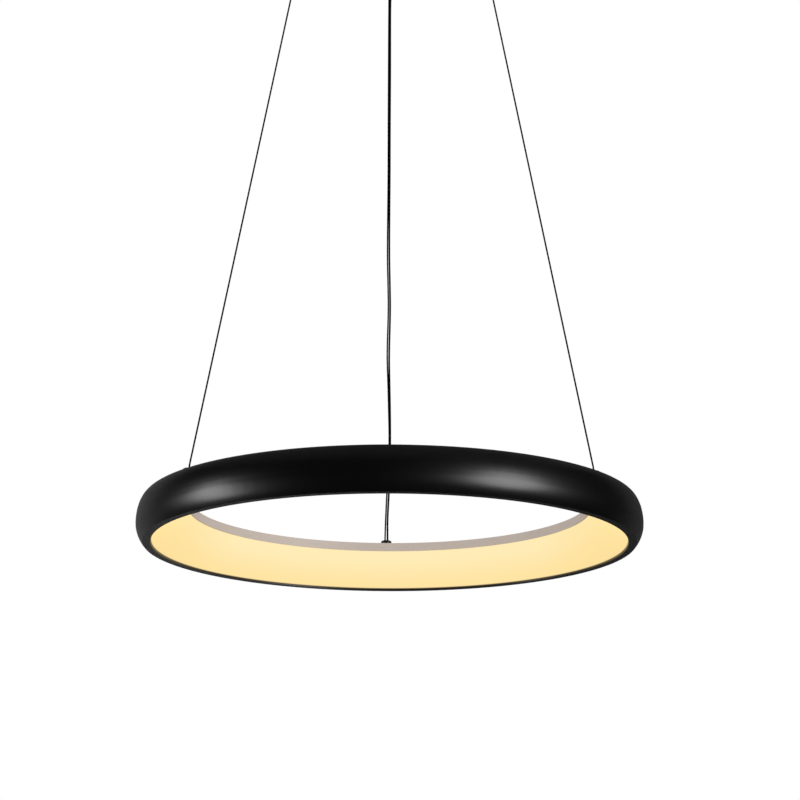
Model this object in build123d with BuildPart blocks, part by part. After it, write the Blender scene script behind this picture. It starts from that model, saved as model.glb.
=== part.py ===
from build123d import *
from math import cos, degrees, radians, sin, sqrt, tan
import os

os.makedirs("parts", exist_ok=True)

# Ring pendant light: a glowing ring hung on three wires from a ceiling canopy.
# Sizes are in millimetres. The origin is on the ceiling, in the middle of the canopy, and +Z is up.

# Whole lamp
drop = 1000.0  # ceiling down to the ring's lower rim
wire_angles = {"rear": 90, "left": 210, "right": 330}

# Ring section: reaches run inwards from the widest line, heights run up from the lower rim
ring_diameter = 600.0
ring_height = 53.0
section_width = 62.5  # widest line to the white inner wall
rim_reach = 18.0  # widest line to the edge of the lower opening
rim_flat = 9.5  # flat underside of the rim
shoulder_reach = 14.0  # widest line to the start of the flat top
belly_height = 22.0  # height of the widest line
shell_wall = 1.2

# White frame inside the ring
frame_wall = 1.5
inner_wall_height = 10.5  # white wall that shows above the diffuser
flange_depth = 31.0  # outer flange that carries the lights

# Opal diffuser
diffuser_wall = 2.0
diffuser_foot = 8.0  # foot that lies on the rim

# Lights on a strip round the frame's flange
strip_width = 10.0
strip_thickness = 0.5
strip_drop = 15.0  # flange top to the strip's upper edge
chip_count = 96
chip_length = 3.5
chip_width = 2.8
chip_height = 0.8

# Terminal in the gap of the strip, where the power cord ends
terminal_width = 12.0
terminal_height = 10.0
terminal_overhang = 5.0  # past the cord, towards the middle of the ring

# Collars that hold the wires on top of the ring
anchor_inset = 34.0  # widest line to the wire
collar_diameter = 13.5
collar_height = 8.5
collar_edge = 1.0
collar_stem_diameter = 10.0
collar_stem_length = 11.0
strand_offset = 1.7  # wire and power cord, each side of the rear collar's axis
nut_height = 5.5
nut_across_flats = 16.0

# Screws between the collars
frame_screw_diameter = 4.0
frame_screw_head = 7.0
frame_screw_head_height = 2.0
frame_screw_length = 9.0

# Wires and power cord
wire_diameter = 2.0
wire_bend = 10.0
wire_tail = 3.0  # past the gripper, inside the canopy
stop_diameter = 3.4
stop_length = 5.0
cord_diameter = 2.4
cord_rise = 21.0  # upright stretch over the ring
cord_lead_in = 12.0  # upright stretch under the gland

# Canopy
canopy_diameter = 220.0
canopy_height = 40.0
canopy_wall = 1.5
canopy_round = 6.0

# Wire grippers under the canopy
grip_circle_diameter = 180.0
gripper_diameter = 13.0
gripper_length = 18.0
gripper_edge = 1.0
gripper_stem_diameter = 10.0
gripper_stem_length = 13.0
chamber_roof = 3.0  # canopy floor down to the spring chamber
chamber_diameter = 7.6
gripper_lip = 2.0
plunger_flange = 2.0
plunger_nose_diameter = 5.0
plunger_nose = 4.0  # what stands out of the gripper
plunger_neck_diameter = 4.4
plunger_neck = 7.5
plunger_flare = 0.8

# Cord gland beside the rear gripper
gland_offset = 17.0
gland_diameter = 9.0
gland_tip_diameter = 5.4
gland_collar = 3.0
gland_length = 16.0
gland_stem_diameter = 7.6
gland_stem_length = 7.0
gland_nut_across_flats = 11.0
gland_nut_height = 3.5

# Driver in the canopy
driver_length = 110.0
driver_width = 40.0
driver_height = 24.0
driver_edge = 1.5
driver_gap = 7.0  # bracket's edge to the driver
ear_length = 9.0
ear_width = 14.0
ear_thickness = 3.0
stud_diameter = 4.0
stud_length = 8.0
stud_nut_across_flats = 7.0
stud_nut_height = 3.2
lead_height = 20.0  # canopy floor up to the lead into the driver

# Mains terminal at the driver
mains_poles = 3
pole_pitch = 11.0
mains_depth = 13.5
mains_height = 15.0
pole_hole = 4.0
pole_screw_diameter = 5.0
pole_screw_depth = 4.0

# Bracket on the ceiling
bracket_width = 30.0
bracket_thickness = 2.0
bracket_tab_width = 16.0
bracket_tab_drop = 24.0
ceiling_slot_spacing = 100.0
ceiling_slot_width = 5.5
ceiling_slot_length = 16.0
earth_screw_diameter = 4.0
earth_screw_head = 8.0
earth_screw_head_height = 3.0
earth_screw_place = 20.0

# Side screws of the canopy
side_screw_diameter = 4.0
side_screw_head = 8.0
side_screw_head_height = 3.0
side_screw_drop = 14.0  # ceiling down to the screw
side_screw_length = 8.0

# Clearances
seat_gap = 0.3  # round a piece that slides, passes or drops in
thread_gap = 0.1  # round a screw or a nut's thread
bond_gap = 0.3  # under a piece that is taped or soldered on

# Sizes that follow
ring_radius = ring_diameter / 2
rim_level = -drop
ring_top = rim_level + ring_height
eye_radius = ring_radius - section_width
mouth_radius = ring_radius - rim_reach
rim_radius = mouth_radius + rim_flat
rim_inside = rim_radius - shell_wall / 2
shoulder_radius = ring_radius - shoulder_reach
seam_radius = eye_radius + frame_wall + seat_gap
anchor_radius = ring_radius - anchor_inset
web_top = ring_height - shell_wall
flange_radius = shoulder_radius - seat_gap
flange_inside = flange_radius - frame_wall
strip_radius = flange_inside - bond_gap
chip_radius = strip_radius - strip_thickness - bond_gap
strip_top = web_top - strip_drop
collar_top = ring_top + collar_height
stem_end = ring_top - collar_stem_length
terminal_top = stem_end - stop_length - seat_gap
wire_bore = wire_diameter + 2 * seat_gap
cord_bore = cord_diameter + 2 * seat_gap
grip_radius = grip_circle_diameter / 2
canopy_radius = canopy_diameter / 2
floor_under = -canopy_height
floor_top = floor_under + canopy_wall
gripper_end = floor_under - gripper_length
gripper_head = floor_under + gripper_stem_length
chamber_top = floor_under - chamber_roof
lip_top = gripper_end + gripper_lip
plunger_end = gripper_end - plunger_nose
flange_under = lip_top + seat_gap
flange_over = flange_under + plunger_flange
gland_tip = floor_under - gland_length
gland_head = floor_under + gland_stem_length
driver_front = bracket_width / 2 + driver_gap
driver_middle = driver_front + driver_width / 2
driver_back = driver_front + driver_width
stud_spacing = driver_length + ear_length


def around(radius, angle, height=0.0, sideways=0.0):
    """Point at a radius and angle about the lamp's axis, moved sideways to the right as seen from the axis."""
    turn = radians(angle)
    across = Vector(sin(turn), -cos(turn), 0) * sideways
    return Vector(radius * cos(turn), radius * sin(turn), height) + across


def upright(origin, angle=0.0):
    """Upright plane: local x runs outwards at the angle, and local y runs up from the origin."""
    turn = radians(angle)
    return Plane(origin=origin, x_dir=(cos(turn), sin(turn), 0), z_dir=(sin(turn), -cos(turn), 0))


def plumb(point):
    """Upright axis through a point."""
    return Axis((point.X, point.Y, 0), (0, 0, 1))


def route_radii(points):
    """Radius at each inner point of a cord's route, as large as its two runs allow."""
    radii = []
    for before, here, after in zip(points, points[1:], points[2:]):
        first = here - before
        second = after - here
        shorter = min(first.length, second.length)
        radii.append(0.45 * shorter / tan(radians(first.get_angle(second) / 2)))
    return radii


rim_origin = (0, 0, rim_level)
gripper_spots = {side: around(grip_radius, angle) for side, angle in wire_angles.items()}
gland_spot = around(grip_radius, wire_angles["rear"], sideways=gland_offset)

# Outer shell: a hollow rounded section that is open towards the middle of the ring
with BuildPart() as outer_shell:
    with BuildSketch(upright(rim_origin)):
        with BuildLine():
            Line((mouth_radius, 0), (rim_radius, 0))
            TangentArc((ring_radius, belly_height), (rim_radius, 0), tangent=(0, -1))
            EllipticalCenterArc(
                (shoulder_radius, belly_height),
                shoulder_reach,
                ring_height - belly_height,
                start_angle=0,
                arc_size=90,
            )
            Polyline(
                (shoulder_radius, ring_height),
                (seam_radius, ring_height),
                (seam_radius, web_top),
                (shoulder_radius, web_top),
            )
            EllipticalCenterArc(
                (shoulder_radius, belly_height),
                shoulder_reach - shell_wall,
                web_top - belly_height,
                start_angle=0,
                arc_size=90,
            )
            TangentArc((ring_radius - shell_wall, belly_height), (rim_inside, shell_wall), tangent=(0, -1))
            Polyline((rim_inside, shell_wall), (mouth_radius, shell_wall), (mouth_radius, 0))
        make_face()
    revolve(axis=Axis.Z)
    with BuildSketch(Plane.XY.offset(ring_top)):
        with PolarLocations(anchor_radius, len(wire_angles), start_angle=wire_angles["rear"]):
            Circle(collar_stem_diameter / 2 + thread_gap)
        with PolarLocations(anchor_radius, len(wire_angles), start_angle=-wire_angles["rear"]):
            Circle(frame_screw_diameter / 2 + thread_gap)
    extrude(amount=-shell_wall, mode=Mode.SUBTRACT)
outer_shell.part.label = "outer_shell"
export_step(outer_shell.part, "parts/outer_shell.step")

# White frame: the inner wall, a web under the shell's top, and the flange that carries the lights
with BuildPart() as inner_frame:
    with BuildSketch(upright(rim_origin)):
        with BuildLine():
            Polyline(
                (eye_radius, ring_height),
                (eye_radius, ring_height - inner_wall_height),
                (eye_radius + frame_wall, ring_height - inner_wall_height),
                (eye_radius + frame_wall, web_top - frame_wall),
                (flange_inside, web_top - frame_wall),
                (flange_inside, web_top - flange_depth),
                (flange_radius, web_top - flange_depth),
                (flange_radius, web_top),
                (eye_radius + frame_wall, web_top),
                (eye_radius + frame_wall, ring_height),
                close=True,
            )
        make_face()
    revolve(axis=Axis.Z)
    with BuildSketch(Plane.XY.offset(rim_level + web_top)):
        with PolarLocations(anchor_radius, len(wire_angles), start_angle=wire_angles["rear"]):
            Circle(collar_stem_diameter / 2 + thread_gap)
        with PolarLocations(anchor_radius, len(wire_angles), start_angle=-wire_angles["rear"]):
            Circle(frame_screw_diameter / 2 + thread_gap)
    extrude(amount=-frame_wall, mode=Mode.SUBTRACT)
inner_frame.part.label = "inner_frame"
export_step(inner_frame.part, "parts/inner_frame.step")

# Opal diffuser: a foot on the rim, the glowing cone, and a lip behind the white wall
with BuildPart() as diffuser:
    with BuildSketch(upright(rim_origin)):
        with BuildLine():
            Polyline(
                (mouth_radius + diffuser_foot, shell_wall),
                (mouth_radius + seat_gap, shell_wall),
                (seam_radius, ring_height - inner_wall_height),
                (seam_radius, web_top - frame_wall - seat_gap),
            )
            offset(amount=diffuser_wall, side=Side.RIGHT, kind=Kind.INTERSECTION)
        make_face()
    revolve(axis=Axis.Z)
diffuser.part.label = "diffuser"
export_step(diffuser.part, "parts/diffuser.step")

# Light strip, with a gap for its terminal at the rear
strip_gap_angle = degrees((terminal_width + 2 * seat_gap) / strip_radius)
strip_start = wire_angles["rear"] + strip_gap_angle / 2
with BuildPart() as led_strip:
    with BuildSketch(upright(rim_origin, strip_start)):
        with Locations((strip_radius, strip_top)):
            Rectangle(strip_thickness, strip_width, align=(Align.MAX, Align.MAX))
    revolve(axis=Axis.Z, revolution_arc=360 - strip_gap_angle)
led_strip.part.label = "led_strip"
export_step(led_strip.part, "parts/led_strip.step")

chip_middle = rim_level + strip_top - strip_width / 2
first_chip = wire_angles["rear"] + 180 / chip_count
with BuildPart() as led_chips:
    with Locations((0, 0, chip_middle)):
        with PolarLocations(chip_radius, chip_count, start_angle=first_chip):
            Box(chip_height, chip_length, chip_width, align=(Align.MAX, Align.CENTER, Align.CENTER))
led_chips.part.label = "led_chips"
export_step(led_chips.part, "parts/led_chips.step")

# Terminal: the strip's two ends meet its sides, and the power cord comes in from above
terminal_inner = anchor_radius - terminal_overhang
terminal_back = sqrt(flange_inside**2 - (terminal_width / 2) ** 2) - bond_gap
terminal_spot = around(terminal_inner, wire_angles["rear"], terminal_top)
with BuildPart() as strip_terminal:
    with BuildSketch(Plane(origin=terminal_spot, x_dir=(0, 1, 0), z_dir=(0, 0, 1))):
        Rectangle(terminal_back - terminal_inner, terminal_width, align=(Align.MIN, Align.CENTER))
    extrude(amount=-terminal_height)
    chamfer(strip_terminal.faces().sort_by(Axis.Y)[0].edges(), collar_edge)
strip_terminal.part.label = "strip_terminal"
export_step(strip_terminal.part, "parts/strip_terminal.step")

# Collars: a round head on the ring's top and a threaded stem through shell and frame
for side, angle in wire_angles.items():
    middle = around(anchor_radius, angle)
    if side == "rear":
        bores = {-strand_offset: wire_bore, strand_offset: cord_bore}
    else:
        bores = {0.0: wire_bore}
    with BuildPart() as wire_collar:
        with BuildSketch(upright(middle + (0, 0, ring_top))):
            with BuildLine():
                Polyline(
                    (0, collar_height),
                    (collar_diameter / 2 - collar_edge, collar_height),
                    (collar_diameter / 2, collar_height - collar_edge),
                    (collar_diameter / 2, 0),
                    (collar_stem_diameter / 2, 0),
                    (collar_stem_diameter / 2, -collar_stem_length),
                    (0, -collar_stem_length),
                    close=True,
                )
            make_face()
        revolve(axis=plumb(middle))
        for sideways, bore in bores.items():
            spot = around(anchor_radius, angle, stem_end, sideways)
            with BuildSketch(Plane(origin=spot)):
                Circle(bore / 2)
            extrude(amount=collar_top - stem_end, mode=Mode.SUBTRACT)
    wire_collar.part.label = f"wire_collar_{side}"
    export_step(wire_collar.part, f"parts/wire_collar_{side}.step")

with BuildPart() as collar_nuts:
    with BuildSketch(Plane.XY.offset(rim_level + web_top - frame_wall)):
        with PolarLocations(anchor_radius, len(wire_angles), start_angle=wire_angles["rear"]):
            RegularPolygon(nut_across_flats / 2, 6, major_radius=False)
            Circle(collar_stem_diameter / 2 + thread_gap, mode=Mode.SUBTRACT)
    extrude(amount=-nut_height)
collar_nuts.part.label = "collar_nuts"
export_step(collar_nuts.part, "parts/collar_nuts.step")

with BuildPart() as frame_screws:
    with BuildSketch(Plane.XY.offset(ring_top)):
        with PolarLocations(anchor_radius, len(wire_angles), start_angle=-wire_angles["rear"]):
            Circle(frame_screw_head / 2)
    extrude(amount=frame_screw_head_height, taper=20)
    with BuildSketch(Plane.XY.offset(ring_top)):
        with PolarLocations(anchor_radius, len(wire_angles), start_angle=-wire_angles["rear"]):
            Circle(frame_screw_diameter / 2)
    extrude(amount=-frame_screw_length)
frame_screws.part.label = "frame_screws"
export_step(frame_screws.part, "parts/frame_screws.step")

# Wires: upright in the collar, straight and taut between ring and canopy, upright in the gripper
wire_feet = {
    side: around(anchor_radius, angle, stem_end, -strand_offset if side == "rear" else 0.0)
    for side, angle in wire_angles.items()
}
wire_lower_bends = {}
wire_upper_bends = {}
for side, foot in wire_feet.items():
    grip = gripper_spots[side]
    wire_lower_bends[side] = Vector(foot.X, foot.Y, collar_top + seat_gap)
    wire_upper_bends[side] = Vector(grip.X, grip.Y, plunger_end - seat_gap)
    wire_route = [
        foot,
        wire_lower_bends[side],
        wire_upper_bends[side],
        Vector(grip.X, grip.Y, gripper_head + wire_tail),
    ]
    with BuildPart() as suspension_wire:
        with BuildLine() as wire_line:
            FilletPolyline(wire_route, radius=wire_bend)
        with BuildSketch(Plane(origin=foot)):
            Circle(wire_diameter / 2)
        sweep()
    suspension_wire.part.label = f"wire_{side}"
    export_step(suspension_wire.part, f"parts/wire_{side}.step")
    print(f"wire_{side} length {wire_line.wire().length:.1f} volume {suspension_wire.part.volume:.1f}")

with BuildPart() as wire_stops:
    for foot in wire_feet.values():
        with BuildSketch(Plane(origin=foot)):
            Circle(stop_diameter / 2)
    extrude(amount=-stop_length)
wire_stops.part.label = "wire_stops"
export_step(wire_stops.part, "parts/wire_stops.step")

# Power cord: loosely wound about the rear wire
# Each row is the height over the ring's top, then the steps right and back from the wire.
cord_weave = [
    (66, 2.9, 0.9),
    (118, 1.9, -2.4),
    (172, -1.3, -2.8),
    (222, -3.0, -0.6),
    (270, -1.7, 2.5),
    (322, 1.4, 2.7),
    (378, 3.1, 0.3),
    (430, 2.1, -2.3),
    (486, -0.7, -3.0),
    (538, -2.9, -1.1),
    (592, -2.3, 2.0),
    (645, 0.4, 3.1),
    (700, 2.8, 1.4),
    (748, 3.8, -1.0),
    (795, 6.0, -2.4),
    (838, 10.6, -3.0),
]
wire_rise = wire_upper_bends["rear"] - wire_lower_bends["rear"]
cord_spot = around(anchor_radius, wire_angles["rear"], terminal_top, strand_offset)
cord_top = floor_under + canopy_wall / 2 - seat_gap
cord_route = [cord_spot, Vector(cord_spot.X, cord_spot.Y, ring_top + cord_rise)]
for height, right, back in cord_weave:
    climbed = ring_top + height - wire_lower_bends["rear"].Z
    beside = wire_lower_bends["rear"] + wire_rise * (climbed / wire_rise.Z)
    cord_route.append(beside + (right, back, 0))
cord_route.append(Vector(gland_spot.X, gland_spot.Y, gland_tip - cord_lead_in))
cord_route.append(Vector(gland_spot.X, gland_spot.Y, cord_top))
cord_radii = route_radii(cord_route)
with BuildPart() as power_cord:
    with BuildLine() as cord_line:
        FilletPolyline(cord_route, radius=cord_radii)
    with BuildSketch(Plane(origin=cord_spot)):
        Circle(cord_diameter / 2)
    sweep()
power_cord.part.label = "power_cord"
export_step(power_cord.part, "parts/power_cord.step")
print("power_cord radii", [round(radius) for radius in cord_radii])
print(f"power_cord length {cord_line.wire().length:.1f} volume {power_cord.part.volume:.1f}")

# Canopy cup, open to the ceiling, with two studs for the driver
with BuildPart() as canopy_cup:
    with BuildSketch(Plane.XY.offset(floor_under)):
        Circle(canopy_radius)
    extrude(amount=canopy_height)
    fillet(canopy_cup.edges().sort_by(Axis.Z)[0], canopy_round)
    offset(amount=-canopy_wall, openings=canopy_cup.faces().sort_by(Axis.Z)[-1])
    with BuildSketch(Plane.XY.offset(floor_under)):
        with PolarLocations(grip_radius, len(wire_angles), start_angle=wire_angles["rear"]):
            Circle(gripper_stem_diameter / 2 + thread_gap)
        with Locations((gland_spot.X, gland_spot.Y)):
            Circle(gland_stem_diameter / 2 + thread_gap)
    extrude(amount=canopy_wall, mode=Mode.SUBTRACT)
    with BuildSketch(Plane.YZ):
        with Locations((0, -side_screw_drop)):
            Circle(side_screw_diameter / 2 + thread_gap)
    extrude(amount=canopy_radius, both=True, mode=Mode.SUBTRACT)
    with BuildSketch(Plane.XY.offset(floor_top)):
        with Locations((0, driver_middle)):
            with GridLocations(stud_spacing, 0, 2, 1):
                Circle(stud_diameter / 2)
    extrude(amount=stud_length)
canopy_cup.part.label = "canopy_cup"
export_step(canopy_cup.part, "parts/canopy_cup.step")

# Ceiling bracket: a strap with two slots, and a tab at each end for the canopy's side screws
tab_reach = canopy_radius - canopy_wall - seat_gap
tab_face = sqrt(tab_reach**2 - (bracket_tab_width / 2) ** 2)
with BuildPart() as ceiling_bracket:
    with BuildSketch(Plane.XY):
        Rectangle(2 * tab_face, bracket_tab_width)
        Rectangle(2 * (tab_face - bracket_tab_width), bracket_width)
        with GridLocations(ceiling_slot_spacing, 0, 2, 1):
            SlotOverall(ceiling_slot_length, ceiling_slot_width, mode=Mode.SUBTRACT)
        with Locations((earth_screw_place, 0)):
            Circle(earth_screw_diameter / 2 + thread_gap, mode=Mode.SUBTRACT)
    extrude(amount=-bracket_thickness)
    with BuildSketch(Plane.XY):
        with GridLocations(2 * tab_face - bracket_thickness, 0, 2, 1):
            Rectangle(bracket_thickness, bracket_tab_width)
    extrude(amount=-bracket_tab_drop)
    with BuildSketch(Plane.YZ):
        with Locations((0, -side_screw_drop)):
            Circle(side_screw_diameter / 2 + thread_gap)
    extrude(amount=tab_face, both=True, mode=Mode.SUBTRACT)
ceiling_bracket.part.label = "ceiling_bracket"
export_step(ceiling_bracket.part, "parts/ceiling_bracket.step")

with BuildPart() as canopy_screws:
    for way in (1, -1):
        outside = Plane(origin=(way * canopy_radius, 0, -side_screw_drop), z_dir=(way, 0, 0))
        with BuildSketch(outside):
            Circle(side_screw_head / 2)
        extrude(amount=side_screw_head_height, taper=15)
        with BuildSketch(outside):
            Circle(side_screw_diameter / 2)
        extrude(amount=-side_screw_length)
canopy_screws.part.label = "canopy_screws"
export_step(canopy_screws.part, "parts/canopy_screws.step")

with BuildPart() as earth_screw:
    with BuildSketch(Plane.XY):
        with Locations((earth_screw_place, 0)):
            Circle(earth_screw_diameter / 2)
    extrude(amount=-bracket_thickness)
    with BuildSketch(Plane.XY.offset(-bracket_thickness)):
        with Locations((earth_screw_place, 0)):
            Circle(earth_screw_head / 2)
    extrude(amount=-earth_screw_head_height, taper=15)
earth_screw.part.label = "earth_screw"
export_step(earth_screw.part, "parts/earth_screw.step")

# Wire grippers: a turned body with a spring chamber, and a plunger that frees the wire when pressed
for side, angle in wire_angles.items():
    grip = gripper_spots[side]
    with BuildPart() as gripper_body:
        with BuildSketch(upright(grip)):
            with BuildLine():
                Polyline(
                    (wire_bore / 2, gripper_head),
                    (gripper_stem_diameter / 2, gripper_head),
                    (gripper_stem_diameter / 2, floor_under),
                    (gripper_diameter / 2, floor_under),
                    (gripper_diameter / 2, gripper_end + gripper_edge),
                    (gripper_diameter / 2 - gripper_edge, gripper_end),
                    (plunger_nose_diameter / 2 + seat_gap, gripper_end),
                    (plunger_nose_diameter / 2 + seat_gap, lip_top),
                    (chamber_diameter / 2, lip_top),
                    (chamber_diameter / 2, chamber_top),
                    (wire_bore / 2, chamber_top),
                    close=True,
                )
            make_face()
        revolve(axis=plumb(grip))
    gripper_body.part.label = f"gripper_body_{side}"
    export_step(gripper_body.part, f"parts/gripper_body_{side}.step")

    with BuildPart() as gripper_plunger:
        with BuildSketch(upright(grip)):
            with BuildLine():
                Polyline(
                    (wire_bore / 2, flange_over + plunger_neck),
                    (plunger_neck_diameter / 2, flange_over + plunger_neck),
                    (plunger_neck_diameter / 2, flange_over),
                    (chamber_diameter / 2 - seat_gap, flange_over),
                    (chamber_diameter / 2 - seat_gap, flange_under),
                    (plunger_nose_diameter / 2, flange_under),
                    (plunger_nose_diameter / 2, plunger_end),
                    (wire_bore / 2 + plunger_flare, plunger_end),
                    (wire_bore / 2, plunger_end + plunger_flare),
                    close=True,
                )
            make_face()
        revolve(axis=plumb(grip))
    gripper_plunger.part.label = f"gripper_plunger_{side}"
    export_step(gripper_plunger.part, f"parts/gripper_plunger_{side}.step")

    with BuildPart() as gripper_spring:
        with BuildSketch(Plane(origin=grip + (0, 0, flange_over + seat_gap))):
            Circle(chamber_diameter / 2 - seat_gap)
            Circle(plunger_neck_diameter / 2 + seat_gap, mode=Mode.SUBTRACT)
        extrude(amount=chamber_top - flange_over - 2 * seat_gap)
    gripper_spring.part.label = f"gripper_spring_{side}"
    export_step(gripper_spring.part, f"parts/gripper_spring_{side}.step")

with BuildPart() as gripper_nuts:
    with BuildSketch(Plane.XY.offset(floor_top)):
        with PolarLocations(grip_radius, len(wire_angles), start_angle=wire_angles["rear"]):
            RegularPolygon(nut_across_flats / 2, 6, major_radius=False)
            Circle(gripper_stem_diameter / 2 + thread_gap, mode=Mode.SUBTRACT)
    extrude(amount=nut_height)
gripper_nuts.part.label = "gripper_nuts"
export_step(gripper_nuts.part, "parts/gripper_nuts.step")

# Cord gland: a tapered boot under the canopy and a threaded stem above
with BuildPart() as cord_gland:
    with BuildSketch(upright(gland_spot)):
        with BuildLine():
            Polyline(
                (cord_bore / 2, gland_head),
                (gland_stem_diameter / 2, gland_head),
                (gland_stem_diameter / 2, floor_under),
                (gland_diameter / 2, floor_under),
                (gland_diameter / 2, floor_under - gland_collar),
                (gland_tip_diameter / 2, gland_tip),
                (cord_bore / 2, gland_tip),
                close=True,
            )
        make_face()
    revolve(axis=plumb(gland_spot))
cord_gland.part.label = "cord_gland"
export_step(cord_gland.part, "parts/cord_gland.step")

with BuildPart() as gland_nut:
    with BuildSketch(Plane(origin=gland_spot + (0, 0, floor_top))):
        RegularPolygon(gland_nut_across_flats / 2, 6, major_radius=False)
        Circle(gland_stem_diameter / 2 + thread_gap, mode=Mode.SUBTRACT)
    extrude(amount=gland_nut_height)
gland_nut.part.label = "gland_nut"
export_step(gland_nut.part, "parts/gland_nut.step")

# Driver on the canopy's floor, held by its two ears
with BuildPart() as led_driver:
    with BuildSketch(Plane.XY.offset(floor_top)):
        with Locations((0, driver_middle)):
            Rectangle(driver_length, driver_width)
    extrude(amount=driver_height)
    fillet(led_driver.edges().filter_by(Axis.Z), driver_edge)
    chamfer(led_driver.faces().sort_by(Axis.Z)[-1].edges(), driver_edge)
    with BuildSketch(Plane.XY.offset(floor_top)):
        with Locations((0, driver_middle)):
            Rectangle(driver_length + 2 * ear_length, ear_width)
            with GridLocations(stud_spacing, 0, 2, 1):
                Circle(stud_diameter / 2 + thread_gap, mode=Mode.SUBTRACT)
    extrude(amount=ear_thickness)
led_driver.part.label = "led_driver"
export_step(led_driver.part, "parts/led_driver.step")

with BuildPart() as driver_nuts:
    with BuildSketch(Plane.XY.offset(floor_top + ear_thickness)):
        with Locations((0, driver_middle)):
            with GridLocations(stud_spacing, 0, 2, 1):
                RegularPolygon(stud_nut_across_flats / 2, 6, major_radius=False)
                Circle(stud_diameter / 2 + thread_gap, mode=Mode.SUBTRACT)
    extrude(amount=stud_nut_height)
driver_nuts.part.label = "driver_nuts"
export_step(driver_nuts.part, "parts/driver_nuts.step")

# Mains terminal against the driver's front, with a cable hole and a screw for each pole
mains_middle = driver_front - mains_depth / 2
with BuildPart() as mains_terminal:
    with BuildSketch(Plane.XY.offset(floor_top)):
        with Locations((0, mains_middle)):
            Rectangle(mains_poles * pole_pitch, mains_depth)
    extrude(amount=mains_height)
    with BuildSketch(Plane.XZ.offset(mains_depth - driver_front)):
        with Locations((0, floor_top + mains_height / 2)):
            with GridLocations(pole_pitch, 0, mains_poles, 1):
                Circle(pole_hole / 2)
    extrude(amount=-mains_depth / 2, mode=Mode.SUBTRACT)
    with BuildSketch(Plane.XY.offset(floor_top + mains_height)):
        with Locations((0, mains_middle)):
            with GridLocations(pole_pitch, 0, mains_poles, 1):
                Circle(pole_screw_diameter / 2 + thread_gap)
    extrude(amount=-pole_screw_depth, mode=Mode.SUBTRACT)
mains_terminal.part.label = "mains_terminal"
export_step(mains_terminal.part, "parts/mains_terminal.step")

with BuildPart() as terminal_screws:
    with BuildSketch(Plane.XY.offset(floor_top + mains_height - pole_screw_depth)):
        with Locations((0, mains_middle)):
            with GridLocations(pole_pitch, 0, mains_poles, 1):
                Circle(pole_screw_diameter / 2)
    extrude(amount=pole_screw_depth / 2)
terminal_screws.part.label = "terminal_screws"
export_step(terminal_screws.part, "parts/terminal_screws.step")

# Lead from the driver's back down into the gland, where the power cord goes on
lead_level = floor_top + lead_height
lead_route = [
    Vector(gland_spot.X, driver_back, lead_level),
    Vector(gland_spot.X, gland_spot.Y, lead_level),
    Vector(gland_spot.X, gland_spot.Y, floor_under + canopy_wall / 2),
]
lead_radii = route_radii(lead_route)
with BuildPart() as driver_lead:
    with BuildLine() as lead_line:
        FilletPolyline(lead_route, radius=lead_radii)
    with BuildSketch(Plane(origin=lead_route[0], z_dir=(0, 1, 0))):
        Circle(cord_diameter / 2)
    sweep()
driver_lead.part.label = "driver_lead"
export_step(driver_lead.part, "parts/driver_lead.step")
print(f"driver_lead length {lead_line.wire().length:.1f} radius {lead_radii[0]:.1f}")
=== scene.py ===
"""Looks of a ring pendant light: finishes, wires, cord, fittings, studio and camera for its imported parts."""

import logging
import math
from collections.abc import Callable
from dataclasses import dataclass
from enum import Enum

import bmesh
import bpy
from mathutils import Matrix, Quaternion, Vector


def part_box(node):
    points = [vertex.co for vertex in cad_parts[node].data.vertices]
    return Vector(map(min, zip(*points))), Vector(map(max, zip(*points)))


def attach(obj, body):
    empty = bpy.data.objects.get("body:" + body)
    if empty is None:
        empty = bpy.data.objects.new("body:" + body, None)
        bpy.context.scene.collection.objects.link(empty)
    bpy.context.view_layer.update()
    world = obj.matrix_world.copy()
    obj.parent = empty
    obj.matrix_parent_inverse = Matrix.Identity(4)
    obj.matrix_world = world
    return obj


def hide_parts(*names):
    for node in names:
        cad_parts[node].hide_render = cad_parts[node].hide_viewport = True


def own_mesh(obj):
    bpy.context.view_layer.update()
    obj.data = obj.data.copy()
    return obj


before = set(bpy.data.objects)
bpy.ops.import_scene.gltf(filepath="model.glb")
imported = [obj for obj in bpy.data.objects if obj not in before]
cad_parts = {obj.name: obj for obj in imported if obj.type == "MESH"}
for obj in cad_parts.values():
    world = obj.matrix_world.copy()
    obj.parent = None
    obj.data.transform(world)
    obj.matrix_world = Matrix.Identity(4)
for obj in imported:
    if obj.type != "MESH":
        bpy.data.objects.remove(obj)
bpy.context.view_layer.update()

MM = 0.001
UP = Vector((0, 0, 1))
DOWN = Vector((0, 0, -1))
BACK = Vector((0, 1, 0))
SMOOTH_ANGLE = math.radians(35)
MERGE_REACH = 1e-7
# A face lies level if its normal's Z is over the first, and stands upright if it is under the second
LEVEL = 0.9
UPRIGHT = 0.1
# Shares of a thread's pitch at which its crest ends and its root lies
CREST_END = 0.2
ROOT = 0.6
# A wave texture repeats every 2 pi over the first along one axis, and over the second on the diagonal
AXIS_WAVES = 20
DIAGONAL_WAVES = 10
# Sockets of a mix of colours: its share, its two colours and its result
MIX_SHARE, MIX_FIRST, MIX_SECOND, MIX_RESULT = 0, 6, 7, 2
Piece = bpy.types.Object
Tree = bpy.types.NodeTree
Socket = bpy.types.NodeSocket
Inputs = dict[str | int, object]
Colour = tuple[float, float, float, float]
Profile = list[tuple[float, float]]
Rows = tuple[tuple[float, ...], ...]
log = logging.getLogger("ring_pendant")


class Side(Enum):
    """The three wires, by where they stand seen from the camera."""

    REAR = "rear"
    LEFT = "left"
    RIGHT = "right"


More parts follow.
